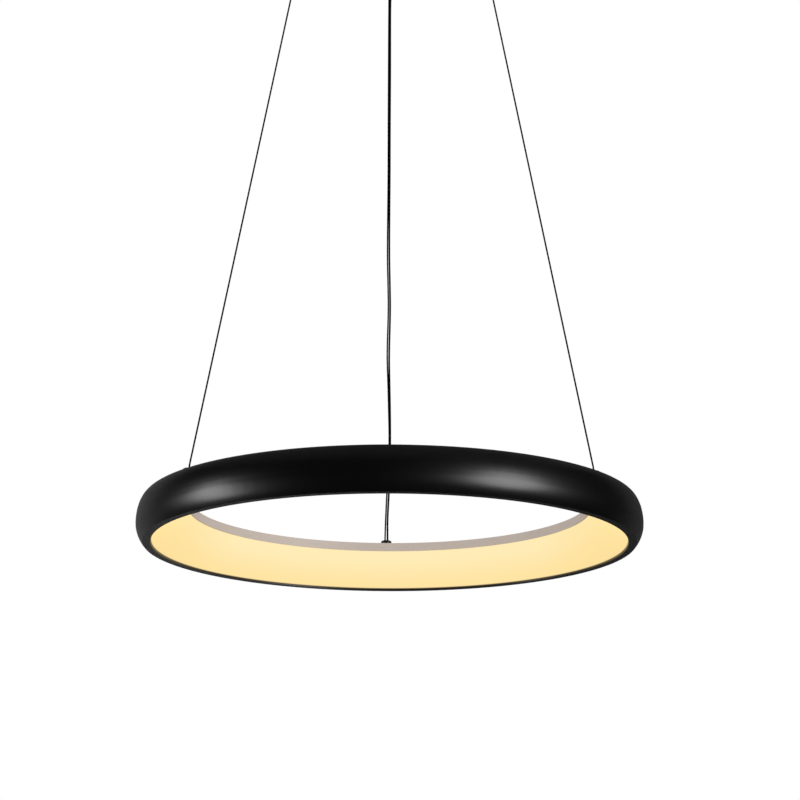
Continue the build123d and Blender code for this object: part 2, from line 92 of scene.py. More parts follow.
class Grain(Enum):
    """How a surface was made, which sets its fine relief."""

    PEEL = "sprayed or moulded, with a fine uneven skin"
    TURNED = "turned on a lathe, with rings one over the other"
    LAY = "a coat over twisted strands, with slanting lines"
    SPANGLE = "plated, with faint crystals"


class Drive(Enum):
    """The recess in a screw's head."""

    SLOT = "slot"
    CROSS = "cross"
    HEX = "hexagon"


class Join(Enum):
    """What a tool shape does to the piece it meets."""

    CUT = "DIFFERENCE"
    KEEP = "INTERSECT"


def linear(code: str) -> Colour:
    """Turns an sRGB hex code into a linear colour.

    Args:
        code: six hex digits.

    Returns:
        Red, green, blue and an alpha of one.
    """
    parts = [int(code[i : i + 2], 16) / 255 for i in (0, 2, 4)]
    red, green, blue = [p / 12.92 if p <= 0.04045 else ((p + 0.055) / 1.055) ** 2.4 for p in parts]
    return red, green, blue, 1.0


def per_metre(size_mm: float) -> float:
    """Texture scale on metre coordinates whose features are about this many millimetres wide."""
    return 1 / (size_mm * MM)


def feed(tree: Tree, node: bpy.types.Node, inputs: Inputs) -> None:
    """Sets and links the inputs of a node.

    Args:
        tree: the node tree that holds the node.
        node: the node.
        inputs: input name or number, to a value or to the output socket that feeds it.
    """
    for name, value in inputs.items():
        if isinstance(value, Socket):
            tree.links.new(value, node.inputs[name])
        else:
            node.inputs[name].default_value = value


def add_node(tree: Tree, kind: str, inputs: Inputs | None = None, **settings: object) -> bpy.types.Node:
    """Adds one node with its settings, values and links.

    Args:
        tree: the node tree that gets the node.
        kind: the node's type name.
        inputs: its values and links.
        settings: the node's own properties.

    Returns:
        The new node.
    """
    node = tree.nodes.new(kind)
    for name, value in settings.items():
        setattr(node, name, value)
    feed(tree, node, inputs or {})
    return node


@dataclass(frozen=True)
class Finish:
    """What a surface is made of, as a material to which each kind of finish adds its own pattern."""

    name: str
    colour: str
    roughness: float

    def material(self) -> bpy.types.Material:
        """Makes the material once.

        Returns:
            The material of this name.
        """
        made = bpy.data.materials.get(self.name)
        if made is None:
            made = bpy.data.materials.new(self.name)
            made.use_nodes = True
            shader = made.node_tree.nodes["Principled BSDF"]
            feed(made.node_tree, shader, {"Base Color": linear(self.colour), "Roughness": self.roughness})
            self.pattern(made.node_tree, shader)
        return made

    def pattern(self, tree: Tree, shader: bpy.types.Node) -> None:
        """Adds no pattern: a kind of finish that has one puts its own here."""


@dataclass(frozen=True)
class StudioPaint(Finish):
    """Plain paint without gloss, for the studio itself."""

    roughness: float = 0.9

    def pattern(self, tree: Tree, shader: bpy.types.Node) -> None:
        """Takes the gloss away."""
        feed(tree, shader, {"Specular IOR Level": 0.0})


@dataclass(frozen=True)
class GrainedFinish(Finish):
    """A finish with a fine relief that also moves its gloss, and a faint cloudiness of its colour."""

    cloud_colour: str
    grain: Grain
    grain_mm: float
    grain_depth_mm: float
    cloud_mm: float = 45.0
    roughness_spread: float = 0.05
    metallic: float = 0.0
    specular: float = 0.5

    def relief(self, tree: Tree, place: Socket) -> Socket:
        """Height of the fine relief, from 0 to 1.

        Args:
            tree: the material's nodes.
            place: where on the object.

        Returns:
            The socket that gives the height.
        """
        grain = {"Vector": place, "Scale": per_metre(self.grain_mm)}
        if self.grain is Grain.PEEL:
            return add_node(tree, "ShaderNodeTexNoise", {**grain, "Detail": 4.0}).outputs[0]
        if self.grain is Grain.SPANGLE:
            return add_node(tree, "ShaderNodeTexVoronoi", grain).outputs["Distance"]
        direction, waves = ("DIAGONAL", DIAGONAL_WAVES) if self.grain is Grain.LAY else ("Z", AXIS_WAVES)
        lines = {**grain, "Scale": grain["Scale"] * math.tau / waves, "Distortion": 0.6, "Detail": 1.0}
        return add_node(tree, "ShaderNodeTexWave", lines, bands_direction=direction).outputs["Fac"]

    def facing(self, tree: Tree, place: Socket) -> Socket:
        """Which way the surface faces under its relief: as the mesh has it."""
        return add_node(tree, "ShaderNodeNewGeometry").outputs["Normal"]

    def pattern(self, tree: Tree, shader: bpy.types.Node) -> None:
        """Feeds the shader with relief, cloudiness and uneven gloss.

        Args:
            tree: the material's nodes.
            shader: its shader.
        """
        place = add_node(tree, "ShaderNodeTexCoord").outputs["Object"]
        cloud = add_node(tree, "ShaderNodeTexNoise", {"Vector": place, "Scale": per_metre(self.cloud_mm)})
        tones = {MIX_FIRST: linear(self.colour), MIX_SECOND: linear(self.cloud_colour)}
        tones[MIX_SHARE] = cloud.outputs[0]
        colour = add_node(tree, "ShaderNodeMix", tones, data_type="RGBA")
        height = self.relief(tree, place)
        low, high = self.roughness - self.roughness_spread, self.roughness + self.roughness_spread
        gloss = add_node(tree, "ShaderNodeMapRange", {"Value": height, "To Min": low, "To Max": high})
        steps = {"Height": height, "Distance": self.grain_depth_mm * MM, "Normal": self.facing(tree, place)}
        bump = add_node(tree, "ShaderNodeBump", steps)
        surface = {
            "Base Color": colour.outputs[MIX_RESULT],
            "Roughness": gloss.outputs["Result"],
            "Normal": bump.outputs["Normal"],
            "Metallic": self.metallic,
            "Specular IOR Level": self.specular,
        }
        feed(tree, shader, surface)


@dataclass(frozen=True)
class SpunCoat(GrainedFinish):
    """Coat on the spun ring, whose two halves meet without a crease along its widest line."""

    widest_mm: float = -978.0
    reach_mm: float = 5.0

    def facing(self, tree: Tree, place: Socket) -> Socket:
        """Which way the surface faces: level on the widest line, and as the mesh has it further off.

        Args:
            tree: the material's nodes.
            place: where on the object.

        Returns:
            The socket that gives the direction.
        """
        height = add_node(tree, "ShaderNodeSeparateXYZ", {0: place}).outputs["Z"]
        above = add_node(tree, "ShaderNodeMath", {0: height, 1: self.widest_mm * MM}, operation="SUBTRACT")
        apart = add_node(tree, "ShaderNodeMath", {0: above.outputs[0]}, operation="ABSOLUTE")
        limits = {"Value": apart.outputs[0], "From Max": self.reach_mm * MM}
        lean = add_node(tree, "ShaderNodeMapRange", limits)
        keep = add_node(tree, "ShaderNodeCombineXYZ", {"X": 1.0, "Y": 1.0, "Z": lean.outputs["Result"]})
        normal = {0: super().facing(tree, place), 1: keep.outputs[0]}
        levelled = add_node(tree, "ShaderNodeVectorMath", normal, operation="MULTIPLY").outputs[0]
        return add_node(tree, "ShaderNodeVectorMath", {0: levelled}, operation="NORMALIZE").outputs[0]


@dataclass(frozen=True)
class OpalGlow(Finish):
    """Opal acrylic lit from behind: palest near its top, with a painted warmer tint at the ring's left and
    right ends for the glow seen edge-on, and painted shade at its foot behind the lip.
    """

    top_colour: str = "f9e4ad"
    rim_colour: str = "f8dc98"
    # Painted tint: the glow turns warmer towards the ring's left and right ends, standing in for opal seen
    # edge-on
    end_painted_tint_colour: str = "f6d992"
    # Painted shade: the glow darkens along the opal's foot, where the lip shades it
    foot_painted_shade_colour: str = "3a2508"
    strength: float = 0.98
    low_mm: float = -998.0
    high_mm: float = -962.0
    end_painted_tint_from_mm: float = 180.0
    end_painted_tint_to_mm: float = 285.0
    foot_painted_shade_from_mm: float = -997.2
    foot_painted_shade_to_mm: float = -998.4

    def pattern(self, tree: Tree, shader: bpy.types.Node) -> None:
        """Feeds the shader with the glow's own gradient.

        Args:
            tree: the material's nodes.
            shader: its shader.
        """
        place = add_node(tree, "ShaderNodeTexCoord").outputs["Object"]
        split = add_node(tree, "ShaderNodeSeparateXYZ", {0: place}).outputs
        aside = add_node(tree, "ShaderNodeMath", {0: split["X"]}, operation="ABSOLUTE").outputs[0]
        layers = (
            (split["Z"], self.low_mm, self.high_mm, self.top_colour),
            # Painted warmer tint towards the ring's left and right ends
            (aside, self.end_painted_tint_from_mm, self.end_painted_tint_to_mm, self.end_painted_tint_colour),
            # Painted shade along the opal's foot
            (split["Z"], self.foot_painted_shade_from_mm, self.foot_painted_shade_to_mm, self.foot_painted_shade_colour),
        )
        glow: Socket | Colour = linear(self.rim_colour)
        for distance, start, end, code in layers:
            limits = {"Value": distance, "From Min": start * MM, "From Max": end * MM}
            share = add_node(tree, "ShaderNodeMapRange", limits, interpolation_type="SMOOTHSTEP")
            tones = {MIX_SHARE: share.outputs["Result"], MIX_FIRST: glow, MIX_SECOND: linear(code)}
            glow = add_node(tree, "ShaderNodeMix", tones, data_type="RGBA").outputs[MIX_RESULT]
        feed(tree, shader, {"Emission Color": glow, "Emission Strength": self.strength})


# Powder coat on spun aluminium: deep black with soft broad highlights, and a peel too fine to see from afar
RING_COAT = SpunCoat("black_powder_coat_on_ring", "020202", 0.33, "040404", Grain.PEEL, 0.9, 0.004)
# Powder coat on pressed steel: the same black, a little duller
POWDER_COAT = GrainedFinish("black_powder_coat", "050505", 0.42, "080808", Grain.PEEL, 0.9, 0.004)
# Sprayed white lacquer, matte, its colour darkened to a warm grey as painted shade for the inner wall that
# little light reaches
WHITE_LACQUER_PAINTED_SHADE = GrainedFinish("white_lacquer_painted_shade", "b9aca4", 0.5, "c0b4ab", Grain.PEEL, 1.2, 0.004)
# Opal acrylic: a warm glow with hardly any gloss of its own, a painted warmer tint at the ring's ends and
# painted shade at its foot
OPAL = OpalGlow("opal_acrylic", "565148", 0.45)
# Blackened turned steel: rings from the tool catch the light, drawn coarser than real so as to show
BLACK_STEEL = GrainedFinish("black_turned_steel", "060606", 0.38, "0a0a0a", Grain.TURNED, 0.5, 0.02)
# Plastic coat on steel rope: black, with the strands' lay faint underneath, drawn coarser so as to show
WIRE_COAT = GrainedFinish("black_wire_coat", "020202", 0.7, "040404", Grain.LAY, 1.6, 0.03, specular=0.05)
# Extruded plastic sheath: black and duller than the wire
CORD_SHEATH = GrainedFinish(
    "black_cord_sheath", "020202", 0.7, "040404", Grain.PEEL, 0.6, 0.006, specular=0.05
)
# Zinc plate: pale blue-grey, cloudy, with faint crystals
ZINC_PLATE = GrainedFinish(
    "zinc_plated_steel", "9fa4a9", 0.36, "c3c6c8", Grain.SPANGLE, 1.8, 0.01, 7.0, 0.08, metallic=1.0
)
# Nickel plate on a turned plunger: warmer and smoother than zinc
NICKEL_PLATE = GrainedFinish(
    "nickel_plated_steel", "b9b4aa", 0.26, "c8c3b9", Grain.TURNED, 0.4, 0.01, 5.0, 0.04, metallic=1.0
)
# Drawn spring steel: darker, with lines along the wire
SPRING_STEEL = GrainedFinish(
    "drawn_spring_steel", "7f8184", 0.3, "979a9c", Grain.LAY, 0.5, 0.006, 3.0, 0.05, metallic=1.0
)
# Moulded nylon: black with a fine spark-eroded skin
BLACK_NYLON = GrainedFinish("black_moulded_nylon", "080808", 0.55, "0d0d0e", Grain.PEEL, 0.5, 0.02)
# Moulded polycarbonate case: white, matte, with a fine mould skin
WHITE_CASE = GrainedFinish("white_moulded_case", "d5d2ca", 0.55, "dedbd4", Grain.PEEL, 0.7, 0.02)
# Polyamide terminal: warm grey, slightly waxy
TERMINAL_PLASTIC = GrainedFinish("terminal_polyamide", "aeab9d", 0.45, "bab7aa", Grain.PEEL, 0.8, 0.012)
# Solder mask: white and glossy over a board
SOLDER_MASK = GrainedFinish("white_solder_mask", "d9dad4", 0.35, "e2e2dd", Grain.PEEL, 0.8, 0.004)
# Phosphor gel of the lights: yellow, wet-looking
PHOSPHOR = GrainedFinish("phosphor_gel", "f2cf5a", 0.25, "f7da74", Grain.PEEL, 0.5, 0.006)


def dress(finish: Finish, *nodes: str) -> None:
    """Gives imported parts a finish.

    Args:
        finish: the finish.
        nodes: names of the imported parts.
    """
    for node in nodes:
        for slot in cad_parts[node].material_slots:
            slot.material = finish.material()


def middle(node: str, height: float) -> Vector:
    """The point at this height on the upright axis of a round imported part."""
    low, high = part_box(node)
    return Vector(((low.x + high.x) / 2, (low.y + high.y) / 2, height))


def standing(seat: Vector, towards: Vector) -> Matrix:
    """The move that stands an upright piece on a seat, pointing this way."""
    return Matrix.Translation(seat) @ towards.to_track_quat("Z", "Y").to_matrix().to_4x4()


def link(name: str, data: bpy.types.ID) -> Piece:
    """Puts a mesh, a curve, a light or a camera into the scene.

    Args:
        name: the new object's name.
        data: what the object holds.

    Returns:
        The object, at the origin.
    """
    made = bpy.data.objects.new(name, data)
    bpy.context.scene.collection.objects.link(made)
    return made


def pick(*pieces: Piece) -> None:
    """Selects these pieces alone, the first as the active one.

    Args:
        pieces: the pieces, or none to deselect all.
    """
    bpy.ops.object.select_all(action="DESELECT")
    for piece in pieces:
        piece.select_set(True)
    if pieces:
        bpy.context.view_layer.objects.active = pieces[0]


def settle(name: str) -> Piece:
    """Names the newest primitive and moves its place, turn and size into its mesh.

    Args:
        name: the piece's name.

    Returns:
        The piece, at the origin.
    """
    made = bpy.context.object
    made.name = name
    made.data.name = name
    bpy.ops.object.transform_apply(location=True, rotation=True, scale=True)
    return made


def select_faces(piece: Piece, wanted: Callable[[Vector, Vector], bool]) -> None:
    """Selects faces in edit mode by their place and direction.

    Args:
        piece: the piece in edit mode.
        wanted: tells from a face's middle and normal whether it is selected.
    """
    bpy.ops.mesh.select_mode(type="FACE")
    bpy.ops.mesh.select_all(action="DESELECT")
    shape = bmesh.from_edit_mesh(piece.data)
    for face in shape.faces:
        face.select_set(wanted(face.calc_center_median(), face.normal))
    shape.select_flush_mode()
    bmesh.update_edit_mesh(piece.data)


def modify(piece: Piece, kind: str, **settings: object) -> None:
    """Finishes a piece with one modifier.

    Args:
        piece: the piece.
        kind: the modifier's type name.
        settings: the modifier's own properties.
    """
    pick(piece)
    modifier = piece.modifiers.new(kind, kind)
    for name, value in settings.items():
        setattr(modifier, name, value)
    bpy.ops.object.modifier_apply(modifier=modifier.name)


def combine(piece: Piece, tool: Piece, how: Join) -> None:
    """Cuts a piece with a tool shape, which is used up."""
    modify(piece, "BOOLEAN", operation=how.value, solver="EXACT", object=tool)
    bpy.data.meshes.remove(tool.data)


def soften(piece: Piece, width: float, segments: int = 2) -> None:
    """Rounds the sharp edges of a piece to this width, in a few steps."""
    modify(piece, "BEVEL", width=width, segments=segments, limit_method="ANGLE")


def joined(name: str, pieces: list[Piece]) -> Piece:
    """Makes one piece of several.

    Args:
        name: the new piece's name.
        pieces: what it is made of.

    Returns:
        The piece.
    """
    pick(*pieces)
    if len(pieces) > 1:
        bpy.ops.object.join()
    pieces[0].name = name
    pieces[0].data.name = name
    return pieces[0]


def copied(name: str, piece: Piece, move: Matrix) -> Piece:
    """Copies a piece with a mesh of its own, and moves the mesh.

    Args:
        name: the copy's name.
        piece: what is copied.
        move: the move to the copy's place.

    Returns:
        The copy.
    """
    made = link(name, piece.data.copy())
    made.data.name = name
    made.data.transform(move)
    return made


def repeated(name: str, piece: Piece, moves: list[Matrix]) -> Piece:
    """Makes one piece of copies of another, which is used up.

    Args:
        name: the new piece's name.
        piece: what is copied.
        moves: the move to each copy's place.

    Returns:
        The new piece.
    """
    copies = [copied(name, piece, move) for move in moves]
    bpy.data.meshes.remove(piece.data)
    return joined(name, copies)


def stand_in(piece: Piece, body: str, slot: str, *nodes: str) -> Piece:
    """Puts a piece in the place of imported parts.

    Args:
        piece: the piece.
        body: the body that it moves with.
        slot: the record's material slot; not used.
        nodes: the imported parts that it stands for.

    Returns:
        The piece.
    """
    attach(piece, body)
    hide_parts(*nodes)
    return piece


def fit(piece: Piece, finish: Finish, body: str, slot: str, *nodes: str) -> Piece:
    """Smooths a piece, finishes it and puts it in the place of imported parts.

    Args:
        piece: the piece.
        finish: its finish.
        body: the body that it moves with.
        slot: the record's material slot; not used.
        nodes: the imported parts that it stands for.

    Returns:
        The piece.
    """
    pick(piece)
    bpy.ops.object.shade_smooth_by_angle(angle=SMOOTH_ANGLE)
    piece.data.materials.clear()
    piece.data.materials.append(finish.material())
    return stand_in(piece, body, slot, *nodes)


@dataclass
class Block:
    """A straight-sided start shape between two corners."""

    name: str
    low: Vector
    high: Vector

    def make(self) -> Piece:
        """Makes the block.

        Returns:
            The block.
        """
        pick()
        centre, size = (self.low + self.high) / 2, self.high - self.low
        bpy.ops.mesh.primitive_cube_add(size=1, location=centre, scale=size)
        return settle(self.name)


@dataclass
class Turned:
    """A piece turned about an upright axis, from its first ring of radius and height to its last."""

    name: str
    axis: Vector
    rings: Profile
    sides: int = 48
    bored: bool = False

    def make(self) -> Piece:
        """Draws the first ring and extrudes it from ring to ring.

        Returns:
            A closed mesh: with flat ends, or with the last ring joined to the first if it is bored.
        """
        pick()
        radius, height = self.rings[0]
        bpy.ops.mesh.primitive_circle_add(
            vertices=self.sides,
            radius=radius,
            location=(self.axis.x, self.axis.y, height),
            fill_type="NOTHING" if self.bored else "NGON",
        )
        made = settle(self.name)
        bpy.ops.object.mode_set(mode="EDIT")
        bpy.ops.mesh.select_mode(type="EDGE")
        bpy.ops.mesh.select_all(action="SELECT")
        following = self.rings[1:] + self.rings[:1] if self.bored else self.rings[1:]
        for next_radius, next_height in following:
            bpy.ops.mesh.extrude_edges_move(TRANSFORM_OT_translate={"value": (0, 0, next_height - height)})
            share = next_radius / radius
            centre = (self.axis.x, self.axis.y, next_height)
            bpy.ops.transform.resize(value=(share, share, 1), center_override=centre)
            radius, height = next_radius, next_height
        if not self.bored:
            bpy.ops.mesh.edge_face_add()
        bpy.ops.mesh.select_all(action="SELECT")
        bpy.ops.mesh.remove_doubles(threshold=MERGE_REACH)
        bpy.ops.mesh.normals_make_consistent(inside=False)
        bpy.ops.object.mode_set(mode="OBJECT")
        return made


def thread(radius: float, start: float, end: float, pitch: float, depth: float) -> Profile:
    """Rings of a thread, drawn one over the other.

    Args:
        radius: outer radius.
        start: height of its first turn.
        end: height that its last turn stays short of.
        pitch: height of one turn.
        depth: how deep it is cut.

    Returns:
        The rings in order.
    """
    step = math.copysign(pitch, end - start)
    rings = []
    for turn in range(int(abs(end - start) / pitch)):
        foot = start + turn * step
        rings += [(radius, foot), (radius, foot + CREST_END * step), (radius - depth, foot + ROOT * step)]
    return rings


@dataclass
class Screw:
    """A round-headed screw with a recess and a thread cut into its shank, upright with its seat at zero."""

    head_diameter: float
    head_height: float
    shank_diameter: float
    shank_length: float
    drive: Drive
    pitch: float = 0.7 * MM
    plain_turns: float = 0.3
    # Shares of the shank's radius: its tip, and how deep its thread is cut
    tip_share: float = 0.7
    thread_share: float = 0.12
    # Shares of the head's radius and height, up its wall and in over its dome
    wall: Rows = ((0.95, 0.0), (1.0, 0.12), (1.0, 0.4))
    dome: Rows = ((0.96, 0.58), (0.88, 0.76), (0.75, 0.9), (0.58, 0.97), (0.36, 1.0))
    # Shares of the head's height between which the recess's tool stands, then of its diameter for its widths
    recess_from: float = 0.45
    recess_to: float = 1.5
    hexagon_share: float = 0.22
    slot_share: float = 0.075
    arm_share: float = 0.28

    def make(self) -> Piece:
        """Turns the screw and cuts its recess.

        Returns:
            The screw.
        """
        head, shank, tip = self.head_diameter / 2, self.shank_diameter / 2, -self.shank_length
        plain = self.plain_turns * self.pitch
        rings = [(shank * self.tip_share, tip), (shank, plain + tip)]
        rings += thread(shank, self.pitch + tip, -plain, self.pitch, self.thread_share * shank)
        rings.append((shank, 0))
        rings += [(head * share, self.head_height * climb) for share, climb in self.wall + self.dome]
        made = Turned("screw_shape", Vector(), rings, sides=40).make()
        for tool in self.recess():
            combine(made, tool, Join.CUT)
        return made

    def recess(self) -> list[Piece]:
        """Makes the shapes that cut the recess.

        Returns:
            The tool shapes.
        """
        foot, top = self.head_height * self.recess_from, self.head_height * self.recess_to
        if self.drive is Drive.HEX:
            pick()
            bpy.ops.mesh.primitive_cylinder_add(
                vertices=6,
                radius=self.head_diameter * self.hexagon_share,
                depth=top - foot,
                location=(0, 0, (top + foot) / 2),
            )
            return [settle("hexagon_tool")]
        wide, arm = self.head_diameter * self.slot_share, self.head_diameter * self.arm_share
        arms = [(arm, wide), (wide, arm)] if self.drive is Drive.CROSS else [(self.head_diameter, wide)]
        return [Block("slot_tool", Vector((-x, -y, foot)), Vector((x, y, top))).make() for x, y in arms]


@dataclass
class HexNut:
    """A hexagon nut with its corners turned off and its bore flared at both ends, with its foot at zero."""

    across_flats: float
    height: float
    bore: float
    face_share: float = 0.475
    corner_slope: float = 0.58
    # Shares of the bore's radius: its flared mouth, and how deep the flare goes
    mouth_share: float = 1.12
    flare_share: float = 0.12

    def make(self) -> Piece:
        """Turns a bored blank and keeps what a longer hexagon holds of it.

        Returns:
            The nut.
        """
        corner, top = self.across_flats / math.sqrt(3), self.height
        face = self.across_flats * self.face_share
        drop = (corner - face) * self.corner_slope
        beyond = corner + drop
        wide = self.bore / 2
        mouth, flare = self.mouth_share * wide, self.flare_share * wide
        rings = [(mouth, 0), (face, 0), (beyond, 2 * drop), (beyond, top - 2 * drop)]
        rings += [(face, top), (mouth, top), (wide, top - flare), (wide, flare)]
        made = Turned("nut_shape", Vector(), rings, sides=60, bored=True).make()
        pick()
        centre = (0, 0, top / 2)
        bpy.ops.mesh.primitive_cylinder_add(vertices=6, radius=corner, depth=3 * top, location=centre)
        combine(made, settle("hexagon_tool"), Join.KEEP)
        return made


@dataclass
class Route:
    """A flexible line through given points, and the round tube along it."""

    name: str
    points: list[Vector]
    diameter: float
    steps: int = 10
    sides: int = 12

    def curve(self, bevelled: bool) -> Piece:
        """Lays one smooth open spline with the points as its control points.

        Args:
            bevelled: whether the line gets the tube's thickness.

        Returns:
            The curve object.
        """
        line = bpy.data.curves.new(self.name, "CURVE")
        line.dimensions = "3D"
        line.resolution_u = self.steps
        spline = line.splines.new("NURBS")
        spline.points.add(len(self.points) - 1)
        for control, point in zip(spline.points, self.points):
            control.co = (*point, 1.0)
        spline.use_endpoint_u = True
        spline.order_u = 3
        if bevelled:
            line.bevel_depth = self.diameter / 2
            # A tube has four sides, and two more for each step of its bevel
            line.bevel_resolution = (self.sides - 4) // 2
            line.use_fill_caps = True
        return link(self.name, line)

    def mesh(self, bevelled: bool) -> bpy.types.Mesh:
        """The curve as a mesh, with the curve itself taken away again.

        Args:
            bevelled: whether the line has the tube's thickness.

        Returns:
            The mesh.
        """
        laid = self.curve(bevelled)
        bpy.context.view_layer.update()
        made = bpy.data.meshes.new_from_object(laid.evaluated_get(bpy.context.evaluated_depsgraph_get()))
        line = laid.data
        bpy.data.objects.remove(laid)
        bpy.data.curves.remove(line)
        return made

    def centreline(self) -> list[Vector]:
        """Points along the smooth line."""
        return [vertex.co.copy() for vertex in self.mesh(False).vertices]

    def tube(self, finish: Finish) -> Piece:
        """Makes the tube.

        Args:
            finish: the tube's finish.

        Returns:
            The tube as a mesh object.
        """
        made = link(self.name, self.mesh(True))
        made.data.materials.clear()
        made.data.materials.append(finish.material())
        made.data.shade_smooth()
        return made


@dataclass
class Suspension:
    """Three taut wires, and the power cord close beside the rear one."""

    wire_diameter: float = 2.0 * MM
    wire_length: float = 951.5 * MM
    cord_diameter: float = 2.4 * MM
    cord_length: float = 943.2 * MM
    cord_rise: float = 14.0 * MM
    cord_lead_in: float = 12.0 * MM
    strand_offset: float = 1.7 * MM
    seat_gap: float = 0.3 * MM
    wire_tail: float = 3.0 * MM
    straight_end: float = 12.0 * MM
    # Height over the ring's top, then how far the cord draws the rear wire to the right, in millimetres
    rear_bow: Rows = (
        (33, 0.5), (68, 1.9), (104, 3.8), (140, 4.6), (176, 3.4), (212, 2.2), (248, 0.5), (302, 2.1),
        (338, 1.2), (374, 0.0), (430, 0.2), (484, 0.3), (540, -0.1), (611, -0.4), (703, -0.7), (790, -0.3),
    )
    # Height over the ring's top, then steps right and back from the straight rear wire, in millimetres
    weave: Rows = (
        (34, 2.9, -0.9), (68, 4.6, -1.0), (104, 5.6, -1.5), (140, 5.8, -2.0), (176, 5.2, -1.4),
        (212, 4.2, -1.2), (248, 3.2, -0.9), (302, 4.5, -0.9), (338, 3.6, -1.0), (374, 2.5, -0.9),
        (430, 2.3, -1.2), (484, 2.3, -1.2), (540, 1.9, -1.2), (611, 1.8, -1.1), (660, 1.4, -1.5),
        (703, 1.1, -1.9), (748, 2.7, -2.2), (795, 6.2, -2.4), (838, 10.6, -3.0),
    )

    def wire_bends(self, side: Side) -> tuple[Vector, Vector]:
        """Where a wire leaves its collar and where it enters its gripper.

        Args:
            side: which wire.

        Returns:
            The lower and the upper bend.
        """
        collar, plunger = f"wire_collar_{side.value}", f"gripper_plunger_{side.value}"
        lower = middle(collar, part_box(collar)[1].z + self.seat_gap)
        if side is Side.REAR:
            lower.x -= self.strand_offset
        return lower, middle(plunger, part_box(plunger)[0].z - self.seat_gap)

    def beside_rear(self, height: float, right: float, back: float) -> Vector:
        """A point beside the straight rear wire.

        Args:
            height: over the ring's top, in millimetres.
            right: step to the right, in millimetres.
            back: step to the back, in millimetres.

        Returns:
            The point.
        """
        lower, upper = self.wire_bends(Side.REAR)
        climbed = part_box("outer_shell")[1].z + height * MM - lower.z
        return lower + (upper - lower) * (climbed / (upper - lower).z) + Vector((right, back, 0)) * MM

    def wire_route(self, side: Side) -> list[Vector]:
        """Control points of a wire, with one close to each end of its straight stretch.

        Args:
            side: which wire.

        Returns:
            The points from foot to tail.
        """
        lower, upper = self.wire_bends(side)
        along = (upper - lower).normalized() * self.straight_end
        foot = Vector((lower.x, lower.y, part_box(f"wire_collar_{side.value}")[0].z))
        tail = Vector((upper.x, upper.y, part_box(f"gripper_body_{side.value}")[1].z + self.wire_tail))
        stretch = [lower + along, upper - along]
        if side is Side.REAR:
            bow = [self.beside_rear(height, right, 0) for height, right in self.rear_bow]
            stretch = [*bow, upper - along]
        return [foot, lower, *stretch, upper, tail]

    def cord_route(self) -> list[Vector]:
        """Control points of the power cord.

        Returns:
            The points from the ring up to the gland.
        """
        foot, top = (corner.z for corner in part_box("power_cord"))
        spot = middle("wire_collar_rear", foot) + Vector((self.strand_offset, 0, 0))
        points = [spot, Vector((spot.x, spot.y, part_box("outer_shell")[1].z + self.cord_rise))]
        points += [self.beside_rear(*row) for row in self.weave]
        points.append(middle("cord_gland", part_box("cord_gland")[0].z - self.cord_lead_in))
        points.append(middle("cord_gland", top))
        return points

    def shorten(self, strand: Piece) -> None:
        """Gives a strand a mesh of its own.

        Args:
            strand: a wire or the cord, as a mesh.
        """
        lower, upper = self.wire_bends(Side.LEFT)
        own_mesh(strand)

    def build_wire(self, side: Side) -> Piece:
        """Makes one wire.

        Args:
            side: which wire.

        Returns:
            The wire.
        """
        route = Route(f"taut_wire_{side.value}", self.wire_route(side), self.wire_diameter)
        wire = stand_in(route.tube(WIRE_COAT), "ring", "black_wire", f"wire_{side.value}")
        self.shorten(wire)
        self.wire_bends(side)[0]
        route.centreline()
        return wire

    def build_cord(self) -> Piece:
        """Makes the power cord.

        Returns:
            The cord.
        """
        route = Route("wound_power_cord", self.cord_route(), self.cord_diameter)
        cord = stand_in(route.tube(CORD_SHEATH), "ring", "black_cord", "power_cord")
        self.shorten(cord)
        route.centreline()
        return cord

    def build(self) -> list[Piece]:
        """Makes the wires and the cord."""
        return [self.build_wire(side) for side in Side] + [self.build_cord()]


@dataclass
class Ring:
    """The ring: shell, white frame, glowing cone, lights, collars and the screws on its top."""

    screw_head: float = 7.0 * MM
    screw_head_height: float = 2.0 * MM
    screw_diameter: float = 4.0 * MM

    def dress(self) -> None:
        """Gives the ring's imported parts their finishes."""
        dress(RING_COAT, "outer_shell")
        # The inner frame's grey colour is painted shade on white lacquer
        dress(WHITE_LACQUER_PAINTED_SHADE, "inner_frame")
        dress(OPAL, "diffuser")
        dress(SOLDER_MASK, "led_strip")
        dress(PHOSPHOR, "led_chips")
        dress(TERMINAL_PLASTIC, "strip_terminal")
        dress(BLACK_STEEL, *(f"wire_collar_{side.value}" for side in Side))
        dress(ZINC_PLATE, "collar_nuts", "wire_stops")

    def build(self) -> list[Piece]:
        """Makes the screws, each across the ring from a collar.

        Returns:
            The screws as one piece.
        """
        top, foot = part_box("outer_shell")[1].z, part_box("frame_screws")[0].z
        screw = Screw(self.screw_head, self.screw_head_height, self.screw_diameter, top - foot, Drive.HEX)
        collars = [middle(f"wire_collar_{side.value}", top) for side in Side]
        moves = [standing(Vector((-collar.x, -collar.y, top)), UP) for collar in collars]
        screws = repeated("socket_screws", screw.make(), moves)
        return [fit(screws, BLACK_STEEL, "ring", "black_fitting", "frame_screws")]


